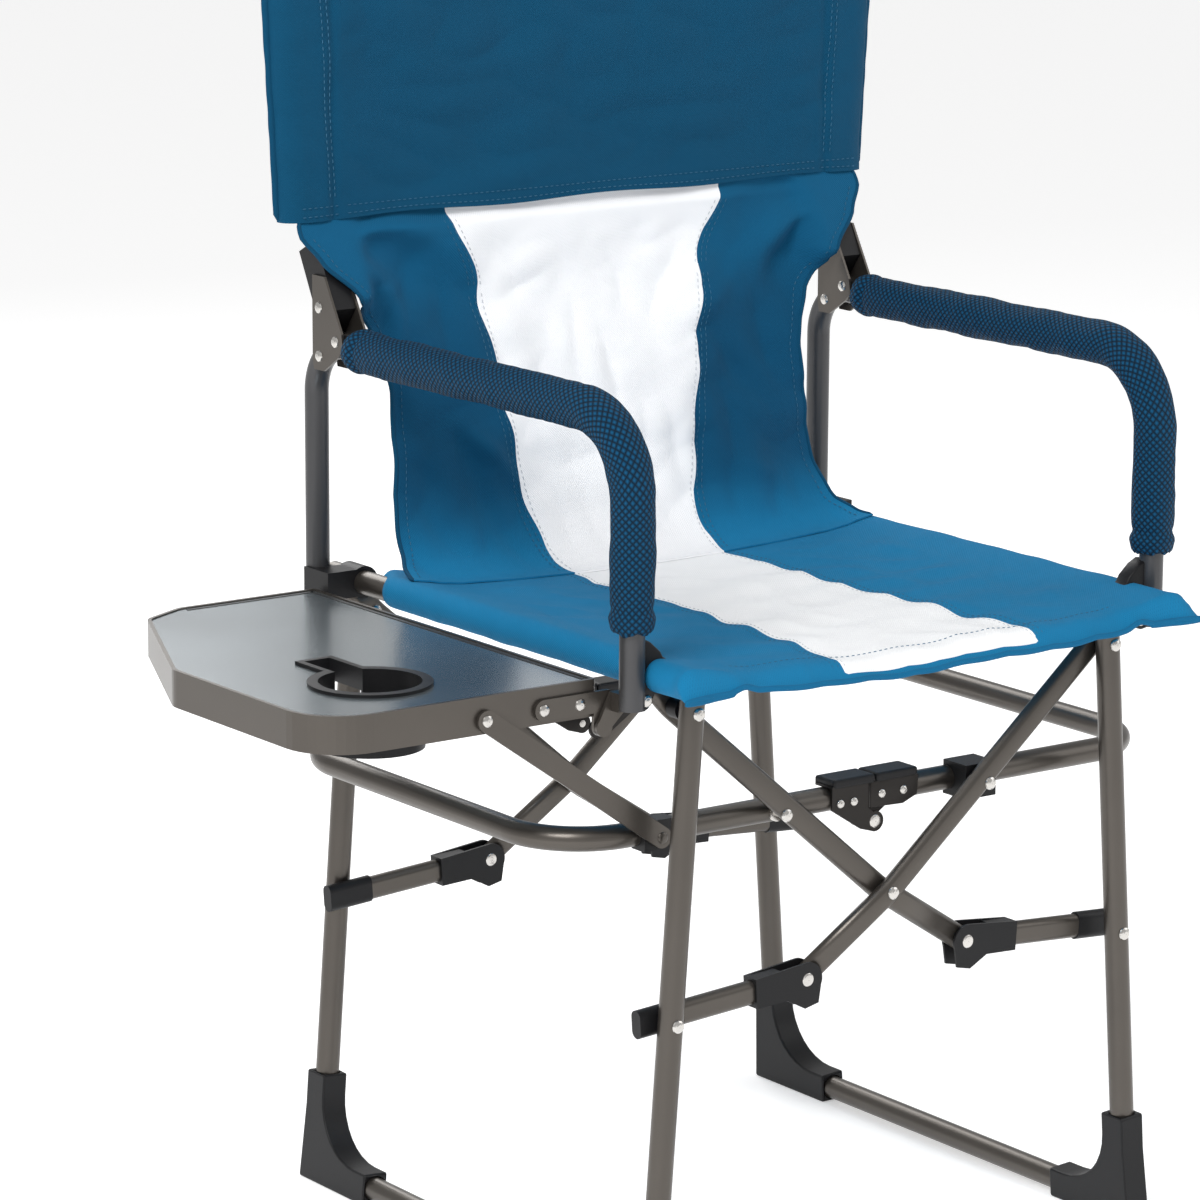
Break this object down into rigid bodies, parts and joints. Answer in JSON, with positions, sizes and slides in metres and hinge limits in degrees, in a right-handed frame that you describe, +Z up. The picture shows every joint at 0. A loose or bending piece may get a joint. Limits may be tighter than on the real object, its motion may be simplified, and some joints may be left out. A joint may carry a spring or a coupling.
{
  "type": "folding camp chair",
  "caption": "Folding director-style camp chair with blue fabric seat and back, padded armrests and a hinged side table with a cup holder.",
  "frame": {"origin": "on the floor under the middle of the bounding box", "axes": "+X across the chair, away from the side table; +Y from the front to the back; +Z up"},
  "size_m": [0.8004, 0.5099, 0.9727],
  "materials": {
    "frame_metal": "taupe satin powder coat",
    "post_metal": "dark grey satin",
    "rivet_steel": "bright domed rivets",
    "black_plastic": "moulded satin black",
    "table_plastic": "smooth grey, glossy",
    "arm_sleeve": "dark blue diamond mesh over foam",
    "seat_cloth": "teal woven polyester with a white centre panel"
  },
  "bodies": {
    "leg_left": {"leg_frame_left": "frame_metal", "foot_front_left": "black_plastic", "foot_rear_left": "black_plastic", "leg_rivets_left": "rivet_steel", "leg_spacers_left": "black_plastic"},
    "leg_right": {"leg_frame_right": "frame_metal", "foot_front_right": "black_plastic", "foot_rear_right": "black_plastic", "leg_rivets_right": "rivet_steel"},
    "scissor_left": {"seat_rail_left": "frame_metal", "bar_front_left": "frame_metal", "bar_rear_left": "frame_metal", "cross_rivets_left": "rivet_steel", "seat_fabric": "seat_cloth"},
    "scissor_right": {"seat_rail_right": "frame_metal", "bar_front_right": "frame_metal", "bar_rear_right": "frame_metal", "cross_rivets_right": "rivet_steel"},
    "links_left": {"link_front_left": "frame_metal", "link_rear_left": "frame_metal", "link_clevises_left": "black_plastic", "link_caps_left": "black_plastic", "link_rivets_left": "rivet_steel"},
    "links_right": {"link_front_right": "frame_metal", "link_rear_right": "frame_metal", "link_clevises_right": "black_plastic", "link_caps_right": "black_plastic", "link_rivets_right": "rivet_steel"},
    "loop_left": {"loop_left": "frame_metal", "loop_hinges_left": "black_plastic", "loop_rivets": "rivet_steel", "strut_saddle": "black_plastic"},
    "loop_right": {"loop_right": "frame_metal", "loop_hinges_right": "black_plastic", "loop_spacers": "black_plastic"},
    "arm_left": {"arm_frame_left": "post_metal", "arm_pad_left": "arm_sleeve", "front_bracket_left": "black_plastic", "rear_socket_left": "black_plastic", "back_hinge_left": "frame_metal", "hinge_rivets_left": "rivet_steel", "table_lugs": "frame_metal"},
    "arm_right": {"arm_frame_right": "post_metal", "arm_pad_right": "arm_sleeve", "front_bracket_right": "black_plastic", "rear_socket_right": "black_plastic", "back_hinge_right": "frame_metal", "hinge_rivets_right": "rivet_steel"},
    "table": {"table_rim": "frame_metal", "table_top": "table_plastic", "cup_holder": "black_plastic", "table_brackets": "frame_metal", "table_rivets": "rivet_steel"},
    "strut": {"table_strut": "frame_metal"},
    "back_left": {"back_knuckle_left": "black_plastic", "back_post_left": "post_metal", "back_fabric": "seat_cloth"},
    "back_right": {"back_knuckle_right": "black_plastic", "back_post_right": "post_metal"}
  },
  "joints": [
    {"name": "fold", "type": "hinge", "parent": "scissor_left", "child": "scissor_right", "pos_m": [0.10275, 0.013, 0.304], "axis": [0, -1, 0], "range_deg": [0, 72], "deforming": ["seat_fabric", "back_fabric"]},
    {"name": "leg_pivot_left", "type": "hinge", "parent": "leg_left", "child": "scissor_left", "pos_m": [-0.09825, 0.013, 0.475], "axis": [0, 1, 0], "range_deg": [0, 30.37]},
    {"name": "leg_pivot_right", "type": "hinge", "parent": "scissor_right", "child": "leg_right", "pos_m": [0.30375, 0.013, 0.475], "axis": [0, 1, 0], "range_deg": [0, 30.37]},
    {"name": "arm_pivot_left", "type": "hinge", "parent": "scissor_left", "child": "arm_left", "pos_m": [-0.12525, 0.013, 0.506], "axis": [0, -1, 0], "range_deg": [0, 36.01]},
    {"name": "arm_pivot_right", "type": "hinge", "parent": "scissor_right", "child": "arm_right", "pos_m": [0.33075, 0.013, 0.506], "axis": [0, 1, 0], "range_deg": [0, 36.01]},
    {"name": "loop_pivot_left", "type": "hinge", "parent": "scissor_left", "child": "loop_left", "pos_m": [0.00855, 0.013, 0.3765], "axis": [0, -1, 0], "range_deg": [0, 118.21]},
    {"name": "loop_pivot_right", "type": "hinge", "parent": "scissor_right", "child": "loop_right", "pos_m": [0.19695, 0.013, 0.3765], "axis": [0, 1, 0], "range_deg": [0, 118.21]},
    {"name": "link_pivot_left", "type": "hinge", "parent": "scissor_right", "child": "links_left", "pos_m": [0.01975, 0.013, 0.25], "axis": [0, 1, 0], "range_deg": [0, 100.33]},
    {"name": "link_pivot_right", "type": "hinge", "parent": "scissor_left", "child": "links_right", "pos_m": [0.18575, 0.013, 0.25], "axis": [0, -1, 0], "range_deg": [0, 100.33]},
    {"name": "table_pivot", "type": "hinge", "parent": "arm_left", "child": "table", "pos_m": [-0.15925, 0.013, 0.467], "axis": [0, -1, 0], "range_deg": [0, 71.51]},
    {"name": "strut_pivot", "type": "hinge", "parent": "table", "child": "strut", "pos_m": [-0.26025, 0.013, 0.485], "axis": [0, 1, 0], "range_deg": [0, 95.81]},
    {"name": "back_fold", "type": "hinge", "parent": "arm_left", "child": "back_left", "pos_m": [-0.14725, 0.192, 0.726], "axis": [1, 0, 0], "range_deg": [0, 80], "deforming": ["back_fabric"]},
    {"name": "back_fold_right", "type": "hinge", "parent": "arm_right", "child": "back_right", "pos_m": [0.35275, 0.192, 0.726], "axis": [1, 0, 0], "range_deg": [0, 80.01]}
  ],
  "couplings": [
    {"joint": "leg_pivot_left", "follows": "fold", "ratio": 0.42167},
    {"joint": "leg_pivot_right", "follows": "fold", "ratio": 0.42167},
    {"joint": "arm_pivot_left", "follows": "fold", "ratio": 0.5},
    {"joint": "arm_pivot_right", "follows": "fold", "ratio": 0.5},
    {"joint": "loop_pivot_left", "follows": "fold", "ratio": 1.6417},
    {"joint": "loop_pivot_right", "follows": "fold", "ratio": 1.6417},
    {"joint": "link_pivot_left", "follows": "fold", "ratio": 1.3933},
    {"joint": "link_pivot_right", "follows": "fold", "ratio": 1.3933},
    {"joint": "table_pivot", "follows": "fold", "ratio": 0.99306},
    {"joint": "strut_pivot", "follows": "fold", "ratio": 1.3306},
    {"joint": "back_fold_right", "follows": "back_fold", "ratio": 1}
  ]
}
